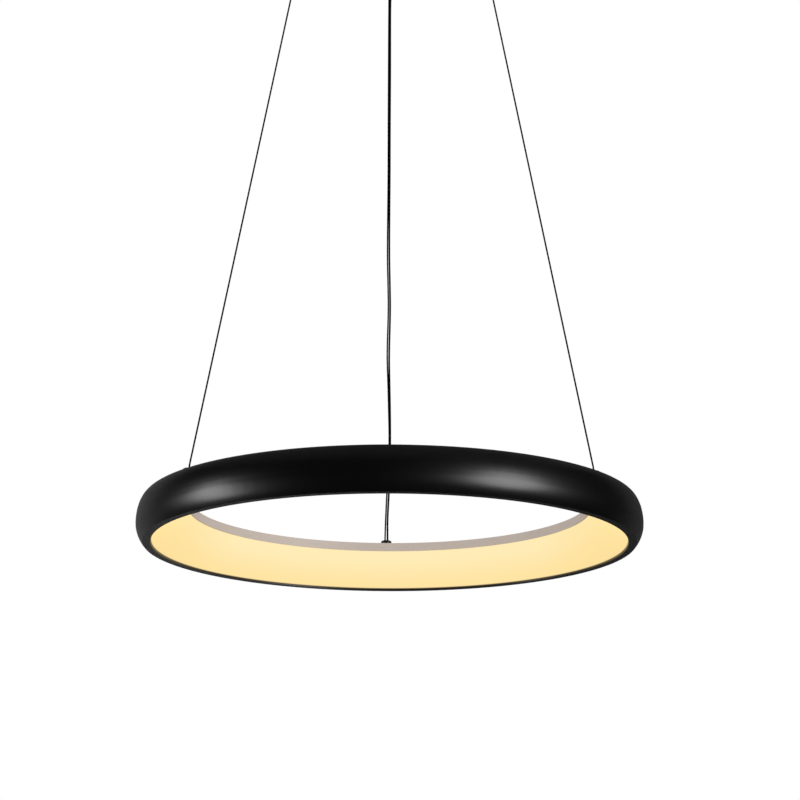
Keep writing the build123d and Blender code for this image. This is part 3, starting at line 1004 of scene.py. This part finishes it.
@dataclass
class Grippers:
    """Three wire grippers: knurled bodies on threaded stems, with coil springs behind their plungers."""

    diameter: float = 13.0 * MM
    stem_diameter: float = 10.0 * MM
    wire_bore: float = 2.6 * MM
    nose_bore: float = 5.6 * MM
    chamber: float = 7.6 * MM
    lip: float = 2.0 * MM
    roof: float = 3.0 * MM
    edge: float = 1.0 * MM
    groove: float = 0.5 * MM
    knurl_drop: float = 4.0 * MM
    knurl_pitch: float = 0.9 * MM
    knurl_rows: int = 9
    knurl_rise: float = 0.22 * MM
    knurl_inset: float = 0.2 * MM
    thread_pitch: float = 1.0 * MM
    thread_depth: float = 0.35 * MM
    coil_turns: int = 6
    coil_wire: float = 0.9 * MM
    coil_points: int = 12

    def body(self) -> Piece:
        """Turns one body at its height about the middle of the canopy, and knurls it.

        Returns:
            The body.
        """
        (low, high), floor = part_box("gripper_body_rear"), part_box("canopy_cup")[0].z
        outer, stem, bore = self.diameter / 2, self.stem_diameter / 2, self.wire_bore / 2
        nose, chamber, roof = self.nose_bore / 2, self.chamber / 2, floor - self.roof
        neck, sunk = outer - self.groove, outer - self.knurl_rise
        knurl_top = floor - self.knurl_drop
        knurl_low = knurl_top - self.knurl_rows * self.knurl_pitch
        rings = [(bore, high.z), (stem - self.groove, high.z)]
        rings += thread(stem, high.z - self.groove, floor + self.groove, self.thread_pitch, self.thread_depth)
        rings += [(stem, floor), (neck, floor), (outer, floor - self.groove)]
        rings += [(outer, knurl_top + self.edge), (neck, knurl_top + self.edge)]
        rings += [(neck, knurl_top + self.groove), (sunk, knurl_top + self.groove / 2)]
        rings += [(sunk, knurl_top - row * self.knurl_pitch) for row in range(self.knurl_rows + 1)]
        rings += [(neck, knurl_low - self.groove), (neck, knurl_low - self.edge)]
        rings += [(outer, knurl_low - self.edge), (outer, low.z + self.edge), (outer - self.edge, low.z)]
        rings += [(nose, low.z), (nose, low.z + self.lip), (chamber, low.z + self.lip), (chamber, roof)]
        rings.append((bore, roof))
        made = Turned("gripper_shape", Vector(), rings, bored=True).make()
        bpy.ops.object.mode_set(mode="EDIT")
        select_faces(made, lambda spot, _: knurl_low < spot.z < knurl_top and spot.xy.length > stem)
        bpy.ops.mesh.inset(thickness=self.knurl_inset, depth=self.knurl_rise, use_individual=True)
        bpy.ops.object.mode_set(mode="OBJECT")
        return made

    def coil(self) -> Piece:
        """Winds one spring at its height about the middle of the canopy.

        Returns:
            The spring.
        """
        low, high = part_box("gripper_spring_rear")
        half = self.coil_wire / 2
        radius = (high.x - low.x) / 2 - half
        steps = self.coil_turns * self.coil_points
        points = []
        for step in range(steps + 1):
            angle = math.tau * step / self.coil_points
            # The first and last turns lie flat
            climb = min(max((step - self.coil_points) / (steps - 2 * self.coil_points), 0), 1)
            rise = low.z + half + climb * (high.z - low.z - self.coil_wire)
            points.append(Vector((radius * math.cos(angle), radius * math.sin(angle), rise)))
        return Route("spring_shape", points, self.coil_wire, steps=3, sides=8).tube(SPRING_STEEL)

    def build_body(self, side: Side, shape: Piece) -> Piece:
        """Puts a copy of the body in its place.

        Args:
            side: which gripper.
            shape: the body that is copied.

        Returns:
            The copy.
        """
        node = f"gripper_body_{side.value}"
        made = copied(f"knurled_gripper_{side.value}", shape, Matrix.Translation(middle(node, 0)))
        return fit(made, BLACK_STEEL, "canopy", "black_fitting", node)

    def build_spring(self, side: Side, shape: Piece) -> Piece:
        """Puts a copy of the spring in its place.

        Args:
            side: which gripper.
            shape: the spring that is copied.

        Returns:
            The copy.
        """
        node, release = f"gripper_spring_{side.value}", f"release_{side.value}"
        (low, high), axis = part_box(node), middle(node, 0)
        coil = copied(f"coil_spring_{side.value}", shape, Matrix.Translation(axis))
        stand_in(coil, "canopy", "zinc_steel", node)
        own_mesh(coil)
        return coil

    def build(self) -> list[Piece]:
        """Makes one body and one spring, and copies them to the three wires.

        Returns:
            The copies.
        """
        body, coil = self.body(), self.coil()
        made = [self.build_body(side, body) for side in Side]
        made += [self.build_spring(side, coil) for side in Side]
        for shape in (body, coil):
            bpy.data.meshes.remove(shape.data)
        return made


@dataclass
class CordGland:
    """The gland for the power cord: a ribbed boot under the canopy on a threaded stem."""

    diameter: float = 9.0 * MM
    tip_diameter: float = 5.4 * MM
    bore: float = 3.0 * MM
    collar: float = 3.0 * MM
    stem_diameter: float = 7.6 * MM
    ribs: int = 6
    # Shares of a rib's height at which it starts to stand out, is out, starts to fall back and is back
    rib_turns: tuple[float, ...] = (0.2, 0.4, 0.675, 0.9)
    rib_depth: float = 0.5 * MM
    edge: float = 0.4 * MM
    thread_pitch: float = 0.8 * MM
    thread_depth: float = 0.3 * MM
    nut_across_flats: float = 11.0 * MM

    def build_boot(self) -> Piece:
        """Turns the boot from its stem down to its tip.

        Returns:
            The boot.
        """
        (low, high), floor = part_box("cord_gland"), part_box("canopy_cup")[0].z
        outer, stem, bore = self.diameter / 2, self.stem_diameter / 2, self.bore / 2
        boot_top = floor - self.collar
        rings = [(bore, high.z), (stem - self.edge, high.z)]
        rings += thread(stem, high.z - self.edge, floor + self.edge, self.thread_pitch, self.thread_depth)
        rings += [(stem, floor), (outer - self.edge, floor), (outer, floor - self.edge)]
        rings += [(outer, boot_top + self.edge), (outer - self.edge, boot_top)]
        step = (boot_top - low.z) / self.ribs
        for rib in range(self.ribs):
            radius = outer + (self.tip_diameter / 2 - outer) * (rib + 0.5) / self.ribs
            sunk, top = radius - self.rib_depth, boot_top - rib * step
            widths = (sunk, radius, radius, sunk)
            rings += [(width, top - share * step) for width, share in zip(widths, self.rib_turns)]
        rings.append((bore, low.z))
        boot = Turned("ribbed_cord_boot", middle("cord_gland", 0), rings, bored=True).make()
        return fit(boot, BLACK_NYLON, "canopy", "black_nylon", "cord_gland")

    def build_nut(self) -> Piece:
        """Makes the nut inside the canopy.

        Returns:
            The nut.
        """
        low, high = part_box("gland_nut")
        nut = HexNut(self.nut_across_flats, high.z - low.z, self.stem_diameter).make()
        nut = repeated("boot_nut", nut, [Matrix.Translation(middle("gland_nut", low.z))])
        return fit(nut, BLACK_NYLON, "canopy", "black_nylon", "gland_nut")

    def build(self) -> list[Piece]:
        """Makes the boot and its nut."""
        return [self.build_boot(), self.build_nut()]


@dataclass
class Driver:
    """The driver in the canopy: a moulded case with a lid seam and two ears, its nuts and its output lead."""

    case_edge: float = 0.5 * MM
    ear_edge: float = 0.3 * MM
    ear_length: float = 9.0 * MM
    ear_width: float = 14.0 * MM
    ear_thickness: float = 3.0 * MM
    ear_overlap: float = 0.75 * MM
    stud_diameter: float = 4.0 * MM
    stud_gap: float = 0.1 * MM
    tool_reach: float = 1.5 * MM
    seam_height: float = 17.0 * MM
    seam_width: float = 0.7 * MM
    seam_depth: float = 0.6 * MM
    lid_inset: float = 3.0 * MM
    lid_rise: float = 0.5 * MM
    nut_across_flats: float = 7.0 * MM
    lead_diameter: float = 2.4 * MM
    lead_length: float = 44.7 * MM

    def build_case(self) -> Piece:
        """Makes the case with its seam and ears.

        Returns:
            The case.
        """
        low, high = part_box("led_driver")
        inner_low = Vector((low.x + self.ear_length, low.y, low.z))
        inner_high = Vector((high.x - self.ear_length, high.y, high.z))
        case = Block("moulded_driver_case", inner_low, inner_high).make()
        bpy.ops.object.mode_set(mode="EDIT")
        # The lid stands a little inside the case's edge, under its top
        select_faces(case, lambda _, facing: facing.z > LEVEL)
        bpy.ops.mesh.inset(thickness=self.lid_inset, depth=0)
        bpy.ops.mesh.inset(thickness=self.lid_rise, depth=-self.lid_rise)
        seam = low.z + self.seam_height
        seam_top = seam + self.seam_width
        for cut in (seam, seam_top):
            bpy.ops.mesh.select_all(action="SELECT")
            bpy.ops.mesh.bisect(plane_co=(0, 0, cut), plane_no=(0, 0, 1))
        select_faces(case, lambda spot, facing: seam < spot.z < seam_top and abs(facing.z) < UPRIGHT)
        bpy.ops.mesh.extrude_region_shrink_fatten(TRANSFORM_OT_shrink_fatten={"value": -self.seam_depth})
        bpy.ops.object.mode_set(mode="OBJECT")
        soften(case, self.case_edge, segments=3)
        right = Matrix.Translation(middle("led_driver", low.z))
        left = right @ Matrix.Rotation(math.pi, 4, "Z")
        case = joined("moulded_driver_case", [case, repeated("driver_ears", self.ear(), [left, right])])
        return fit(case, WHITE_CASE, "canopy", "driver_case", "led_driver")

    def ear(self) -> Piece:
        """Makes one ear with the hole for its stud, to the right of a driver that stands at the origin.

        Returns:
            The ear.
        """
        low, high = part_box("led_driver")
        reach, half = (high.x - low.x) / 2, self.ear_width / 2
        foot = Vector((reach - self.ear_length - self.ear_overlap, -half, 0))
        made = Block("ear_shape", foot, Vector((reach, half, self.ear_thickness))).make()
        stud, bore = Vector((reach - self.ear_length / 2, 0, 0)), self.stud_diameter / 2 + self.stud_gap
        hole = [(bore, -self.tool_reach), (bore, self.ear_thickness + self.tool_reach)]
        combine(made, Turned("ear_tool", stud, hole, sides=32).make(), Join.CUT)
        soften(made, self.ear_edge)
        return made

    def build_nuts(self) -> Piece:
        """Makes the two nuts on the driver's studs.

        Returns:
            The nuts as one piece.
        """
        low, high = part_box("driver_nuts")
        centre = (low.y + high.y) / 2
        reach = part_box("led_driver")[1].x - self.ear_length / 2
        nut = HexNut(self.nut_across_flats, high.z - low.z, self.stud_diameter).make()
        moves = [Matrix.Translation(Vector((way * reach, centre, low.z))) for way in (-1, 1)]
        return fit(repeated("stud_nuts", nut, moves), ZINC_PLATE, "canopy", "zinc_steel", "driver_nuts")

    def build_lead(self) -> Piece:
        """Makes the lead from the driver down into the gland.

        Returns:
            The lead.
        """
        low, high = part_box("driver_lead")
        half = self.lead_diameter / 2
        across, level = (low.x + high.x) / 2, high.z - half
        start = Vector((across, low.y, level))
        corner = Vector((across, high.y - half, level))
        end = Vector((across, high.y - half, low.z))
        out, down = (corner - start) / 2, (end - corner) / 2
        route = Route("driver_output_lead", [start, start + out, corner, end - down, end], self.lead_diameter)
        lead = stand_in(route.tube(CORD_SHEATH), "canopy", "black_cord", "driver_lead")
        route.centreline()
        return lead

    def build(self) -> list[Piece]:
        """Makes the case, its nuts and its lead."""
        return [self.build_case(), self.build_nuts(), self.build_lead()]


@dataclass
class MainsTerminal:
    """The terminal for the house cable: a moulded block with a hole, a well and a screw for each pole."""

    poles: int = 3
    pole_pitch: float = 11.0 * MM
    cable_hole: float = 4.0 * MM
    well: float = 5.2 * MM
    well_depth: float = 4.0 * MM
    screw_diameter: float = 5.0 * MM
    screw_edge: float = 0.3 * MM
    slot_width: float = 0.85 * MM
    slot_depth: float = 0.9 * MM
    slot_reach: float = 3.0 * MM
    rib_gap: float = 1.2 * MM
    rib_depth: float = 1.4 * MM
    edge: float = 0.35 * MM

    def pole_places(self) -> list[float]:
        """Where the poles stand along X."""
        return [(pole - (self.poles - 1) / 2) * self.pole_pitch for pole in range(self.poles)]

    def build_block(self) -> Piece:
        """Moulds the block.

        Returns:
            The block.
        """
        low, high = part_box("mains_terminal")
        centre = (low + high) / 2
        block = Block("moulded_mains_terminal", low, high).make()
        for place in self.pole_places()[1:]:
            left = place - self.pole_pitch / 2 - self.rib_gap / 2
            foot = Vector((left, low.y - self.edge, high.z - self.rib_depth))
            top = Vector((left + self.rib_gap, high.y + self.edge, high.z + self.rib_depth))
            combine(block, Block("groove_tool", foot, top).make(), Join.CUT)
        well = [(self.well / 2, high.z - self.well_depth), (self.well / 2, high.z + self.edge)]
        hole = [(self.cable_hole / 2, -self.edge), (self.cable_hole / 2, (high.y - low.y) / 2)]
        for place in self.pole_places():
            combine(block, Turned("well_tool", Vector((place, centre.y, 0)), well, sides=32).make(), Join.CUT)
            tool = Turned("hole_tool", Vector(), hole, sides=32).make()
            tool.data.transform(standing(Vector((place, low.y, centre.z)), BACK))
            combine(block, tool, Join.CUT)
        soften(block, self.edge)
        return fit(block, TERMINAL_PLASTIC, "canopy", "terminal_plastic", "mains_terminal")

    def build_screws(self) -> Piece:
        """Makes the slotted screws down in the wells.

        Returns:
            The screws as one piece.
        """
        low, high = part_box("terminal_screws")
        centre, height = (low.y + high.y) / 2, high.z - low.z
        radius, half = self.screw_diameter / 2, self.slot_width / 2
        rings = [(radius, 0), (radius, height - self.screw_edge), (radius - self.screw_edge, height)]
        screw = Turned("screw_shape", Vector(), rings, sides=40).make()
        foot = Vector((-self.slot_reach, -half, height - self.slot_depth))
        top = Vector((self.slot_reach, half, height + self.screw_edge))
        combine(screw, Block("slot_tool", foot, top).make(), Join.CUT)
        moves = [Matrix.Translation(Vector((place, centre, low.z))) for place in self.pole_places()]
        screws = repeated("slotted_terminal_screws", screw, moves)
        return fit(screws, ZINC_PLATE, "canopy", "zinc_steel", "terminal_screws")

    def build(self) -> list[Piece]:
        """Makes the block and its screws."""
        return [self.build_block(), self.build_screws()]


@dataclass
class Canopy:
    """The canopy at the ceiling: cup, bracket, screws and the nuts of the grippers."""

    side_screw_head: float = 8.0 * MM
    side_screw_head_height: float = 3.0 * MM
    screw_diameter: float = 4.0 * MM
    side_screw_length: float = 8.0 * MM
    earth_head_height: float = 3.0 * MM
    nut_across_flats: float = 16.0 * MM
    stem_diameter: float = 10.0 * MM

    def dress(self) -> None:
        """Gives the canopy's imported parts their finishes."""
        dress(POWDER_COAT, "canopy_cup")
        dress(NICKEL_PLATE, *(f"gripper_plunger_{side.value}" for side in Side))
        dress(ZINC_PLATE, "ceiling_bracket")

    def build_side_screws(self) -> Piece:
        """Makes the slotted screws on the canopy's two sides.

        Returns:
            The screws as one piece.
        """
        low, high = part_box("canopy_screws")
        wall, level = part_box("canopy_cup")[1].x, (low.z + high.z) / 2
        head = self.side_screw_head, self.side_screw_head_height
        screw = Screw(*head, self.screw_diameter, self.side_screw_length, Drive.SLOT).make()
        moves = [standing(Vector((way * wall, 0, level)), Vector((way, 0, 0))) for way in (-1, 1)]
        screws = repeated("slotted_side_screws", screw, moves)
        return fit(screws, BLACK_STEEL, "canopy", "black_fitting", "canopy_screws")

    def build_earth_screw(self) -> Piece:
        """Makes the earth screw, with its head under the bracket.

        Returns:
            The screw.
        """
        low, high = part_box("earth_screw")
        head = high.x - low.x, self.earth_head_height
        length = high.z - low.z - self.earth_head_height
        screw = Screw(*head, self.screw_diameter, length, Drive.CROSS).make()
        seat = middle("earth_screw", low.z + self.earth_head_height)
        screw = repeated("earth_terminal_screw", screw, [standing(seat, DOWN)])
        return fit(screw, ZINC_PLATE, "canopy", "zinc_steel", "earth_screw")

    def build_nuts(self) -> Piece:
        """Makes the nuts that hold the grippers.

        Returns:
            The nuts as one piece.
        """
        low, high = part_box("gripper_nuts")
        nut = HexNut(self.nut_across_flats, high.z - low.z, self.stem_diameter).make()
        moves = [Matrix.Translation(middle(f"gripper_body_{side.value}", low.z)) for side in Side]
        nuts = repeated("chamfered_gripper_nuts", nut, moves)
        return fit(nuts, ZINC_PLATE, "canopy", "zinc_steel", "gripper_nuts")

    def build(self) -> list[Piece]:
        """Makes the screws and nuts."""
        return [self.build_side_screws(), self.build_earth_screw(), self.build_nuts()]


@dataclass
class Lamp:
    """One soft lamp of the studio: degrees round from the camera, then metres and watts."""

    name: str
    turn: float
    height: float
    width: float
    tall: float
    power: float
    reach: float = 2.3

    def build(self, aim: Vector) -> None:
        """Stands the lamp.

        Args:
            aim: where it points.
        """
        light = bpy.data.lights.new(self.name, "AREA")
        light.shape = "ELLIPSE"
        light.size, light.size_y = self.width, self.tall
        light.energy = self.power
        made = link(self.name, light)
        angle = math.radians(self.turn)
        made.location = (self.reach * math.sin(angle), -self.reach * math.cos(angle), self.height)
        made.rotation_mode = "QUATERNION"
        made.rotation_quaternion = (aim - made.location).to_track_quat("-Z", "Y")
        made.visible_camera = False


@dataclass
class Studio:
    """Camera, white surroundings, two soft lamps, dark screens for the gloss and a pale floor."""

    image_side: float = 800.0
    focal_pixels: float = 2337.08
    camera_place: tuple[float, ...] = (-0.0445, -2.7174, -1.55467)
    camera_yaw: float = 1.1904
    camera_pitch: float = 15.1222
    camera_roll: float = -0.1094
    view_reach: float = 100.0
    sky_colour: str = "ffffff"
    sky_level: float = 0.6
    floor_height: float = -4.6
    floor_side: float = 60.0
    floor_colour: str = "f4f4f2"
    lamp_aim: tuple[float, ...] = (0.0, 0.0, -0.97)
    lamps: tuple[Lamp, ...] = (
        Lamp("soft_lamp_left", -81.0, -1.32, 0.85, 1.9, 29.0),
        Lamp("soft_lamp_right", 49.0, -1.12, 1.25, 1.8, 42.0),
    )
    screen_reach: float = 4.4
    screen_foot: float = -2.4
    screen_top: float = 2.6
    screen_faces: int = 72
    screen_colour: str = "202020"
    cap_colour: str = "7a7a7a"
    # Colours of the screen behind the ring, and the degrees round from the camera between which they reach
    pale_parts: tuple[tuple[str, str, float, float], ...] = (
        ("pale_screen_left", "929292", -180.0, -125.0),
        ("pale_screen_right", "666666", 125.0, 180.0),
    )

    def camera(self) -> None:
        """Stands the camera at the photograph's viewpoint."""
        lens = bpy.data.cameras.new("viewpoint")
        lens.lens = lens.sensor_width * self.focal_pixels / self.image_side
        lens.clip_end = self.view_reach
        made = link("viewpoint", lens)
        yaw, pitch = math.radians(self.camera_yaw), math.radians(self.camera_pitch)
        look = Vector((math.sin(yaw) * math.cos(pitch), math.cos(yaw) * math.cos(pitch), math.sin(pitch)))
        made.location = self.camera_place
        made.rotation_mode = "QUATERNION"
        roll = Quaternion(look, math.radians(self.camera_roll))
        made.rotation_quaternion = roll @ look.to_track_quat("-Z", "Y")
        bpy.context.scene.camera = made

    def surroundings(self) -> None:
        """White all round for the camera and for reflections, and a softer level of light elsewhere."""
        world = bpy.data.worlds.new("white_studio")
        world.use_nodes = True
        bpy.context.scene.world = world
        tree = world.node_tree
        ray = add_node(tree, "ShaderNodeLightPath").outputs
        seen = ray["Is Camera Ray"]
        for kind in ("Is Glossy Ray", "Is Transmission Ray"):
            seen = add_node(tree, "ShaderNodeMath", {0: seen, 1: ray[kind]}, operation="ADD").outputs[0]
        level = add_node(tree, "ShaderNodeMapRange", {"Value": seen, "To Min": self.sky_level})
        sky = {"Color": linear(self.sky_colour), "Strength": level.outputs["Result"]}
        feed(tree, tree.nodes["Background"], sky)

    def floor(self) -> None:
        """Lays the pale floor, which takes the shadow."""
        pick()
        bpy.ops.mesh.primitive_plane_add(size=self.floor_side, location=(0, 0, self.floor_height))
        made = settle("pale_floor")
        made.data.materials.append(StudioPaint("pale_floor", self.floor_colour).material())

    def screen(self) -> None:
        """Stands a dark screen that only the gloss sees, grey on top and paler behind the ring."""
        pick()
        bpy.ops.mesh.primitive_cylinder_add(
            vertices=self.screen_faces,
            radius=self.screen_reach,
            depth=self.screen_top - self.screen_foot,
            location=(0, 0, (self.screen_top + self.screen_foot) / 2),
        )
        made = settle("dark_screen")
        paints = [StudioPaint("dark_screen", self.screen_colour), StudioPaint("grey_cap", self.cap_colour)]
        paints += [StudioPaint(name, code) for name, code, _, _ in self.pale_parts]
        for paint in paints:
            made.data.materials.append(paint.material())
        for face in made.data.polygons:
            turn = math.degrees(math.atan2(face.center.x, -face.center.y))
            if face.normal.z > LEVEL:
                face.material_index = 1
            for slot, (_, _, start, end) in enumerate(self.pale_parts, 2):
                if abs(face.normal.z) < UPRIGHT and start < turn < end:
                    face.material_index = slot
        made.visible_camera = False
        made.visible_diffuse = False
        made.visible_transmission = False
        made.visible_shadow = False

    def build(self) -> None:
        """Sets up the whole studio."""
        bpy.context.scene.view_settings.view_transform = "Standard"
        self.camera()
        self.surroundings()
        for lamp in self.lamps:
            lamp.build(Vector(self.lamp_aim))
        self.floor()
        self.screen()


def main() -> None:
    """Builds the studio and the lamp's pieces in order."""
    logging.basicConfig(level=logging.INFO, format="%(message)s")
    Studio().build()
    ring, canopy = Ring(), Canopy()
    ring.dress()
    canopy.dress()
    for assembly in (Suspension(), ring, canopy, Grippers(), CordGland(), Driver(), MainsTerminal()):
        for piece in assembly.build():
            log.info("%s: %s", type(assembly).__name__, piece.name)


if __name__ == "__main__":
    main()
